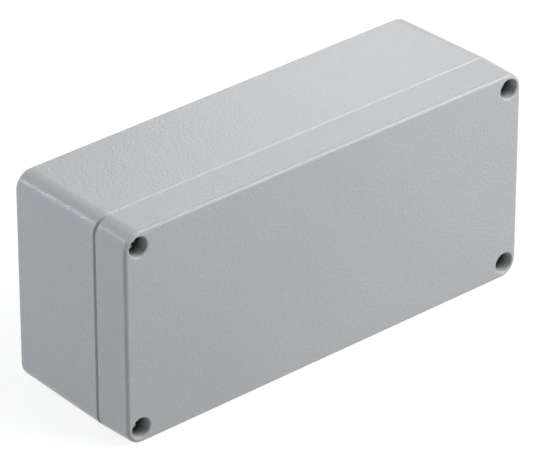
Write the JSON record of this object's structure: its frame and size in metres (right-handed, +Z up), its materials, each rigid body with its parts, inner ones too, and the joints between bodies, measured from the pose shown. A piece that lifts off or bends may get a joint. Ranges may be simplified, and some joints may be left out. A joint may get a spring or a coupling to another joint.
{
  "type": "die cast aluminium box",
  "caption": "Oblong die cast aluminium enclosure with a flat lid, captive corner screws in deep bores, a tongue and groove seal and wall fixing holes.",
  "frame": {"origin": "centre of the underside of the closed box, which stands on a long narrow side as in the picture", "axes": "+X along the length, +Y out of the back that goes against a wall, -Y out through the lid, +Z up"},
  "size_m": [0.175, 0.057, 0.08],
  "materials": {
    "powder_coat": "satin",
    "seal_rubber": "matte",
    "screw_steel": "satin",
    "ring_nylon": "matte",
    "zinc_steel": "satin"
  },
  "bodies": {
    "case": {"base": "powder_coat"},
    "lid": {"lid": "powder_coat", "gasket": "seal_rubber"},
    "screw_feed_1": {"screw_ring_1": "ring_nylon"},
    "screw_1": {"lid_screw_1": "screw_steel"},
    "screw_feed_2": {"screw_ring_2": "ring_nylon"},
    "screw_2": {"lid_screw_2": "screw_steel"},
    "screw_feed_3": {"screw_ring_3": "ring_nylon"},
    "screw_3": {"lid_screw_3": "screw_steel"},
    "screw_feed_4": {"screw_ring_4": "ring_nylon"},
    "screw_4": {"lid_screw_4": "screw_steel"},
    "earth_clamp": {"earth_saddle": "zinc_steel", "earth_spring_washer": "zinc_steel"},
    "earth_screw": {"earth_screw": "zinc_steel"}
  },
  "joints": [
    {"name": "lid_off", "type": "slide", "parent": "case", "child": "lid", "axis": [0, -1, 0], "range_m": [0, 0.08]},
    {"name": "screw_lift_1", "type": "slide", "parent": "lid", "child": "screw_feed_1", "axis": [0, -1, 0], "range_m": [0, 0.003]},
    {"name": "screw_turn_1", "type": "hinge", "parent": "screw_feed_1", "child": "screw_1", "pos_m": [-0.0815, -0.02, 0.074], "axis": [0, -1, 0], "range_deg": [0, 1545]},
    {"name": "screw_lift_2", "type": "slide", "parent": "lid", "child": "screw_feed_2", "axis": [0, -1, 0], "range_m": [0, 0.003]},
    {"name": "screw_turn_2", "type": "hinge", "parent": "screw_feed_2", "child": "screw_2", "pos_m": [0.0815, -0.02, 0.074], "axis": [0, -1, 0], "range_deg": [0, 1545]},
    {"name": "screw_lift_3", "type": "slide", "parent": "lid", "child": "screw_feed_3", "axis": [0, -1, 0], "range_m": [0, 0.003]},
    {"name": "screw_turn_3", "type": "hinge", "parent": "screw_feed_3", "child": "screw_3", "pos_m": [-0.0815, -0.02, 0.006], "axis": [0, -1, 0], "range_deg": [0, 1545]},
    {"name": "screw_lift_4", "type": "slide", "parent": "lid", "child": "screw_feed_4", "axis": [0, -1, 0], "range_m": [0, 0.003]},
    {"name": "screw_turn_4", "type": "hinge", "parent": "screw_feed_4", "child": "screw_4", "pos_m": [0.0815, -0.02, 0.006], "axis": [0, -1, 0], "range_deg": [0, 1545]},
    {"name": "earth_lift", "type": "slide", "parent": "case", "child": "earth_clamp", "axis": [0, -1, 0], "range_m": [0, 0.002]},
    {"name": "earth_turn", "type": "hinge", "parent": "earth_clamp", "child": "earth_screw", "pos_m": [0.04, 0.015, 0.016], "axis": [0, -1, 0], "range_deg": [0, 1030]}
  ],
  "couplings": [
    {"joint": "screw_turn_1", "follows": "screw_lift_1", "rad_per_m": 8976},
    {"joint": "screw_turn_2", "follows": "screw_lift_2", "rad_per_m": 8976},
    {"joint": "screw_turn_3", "follows": "screw_lift_3", "rad_per_m": 8976},
    {"joint": "screw_turn_4", "follows": "screw_lift_4", "rad_per_m": 8976},
    {"joint": "earth_turn", "follows": "earth_lift", "rad_per_m": 8976}
  ]
}
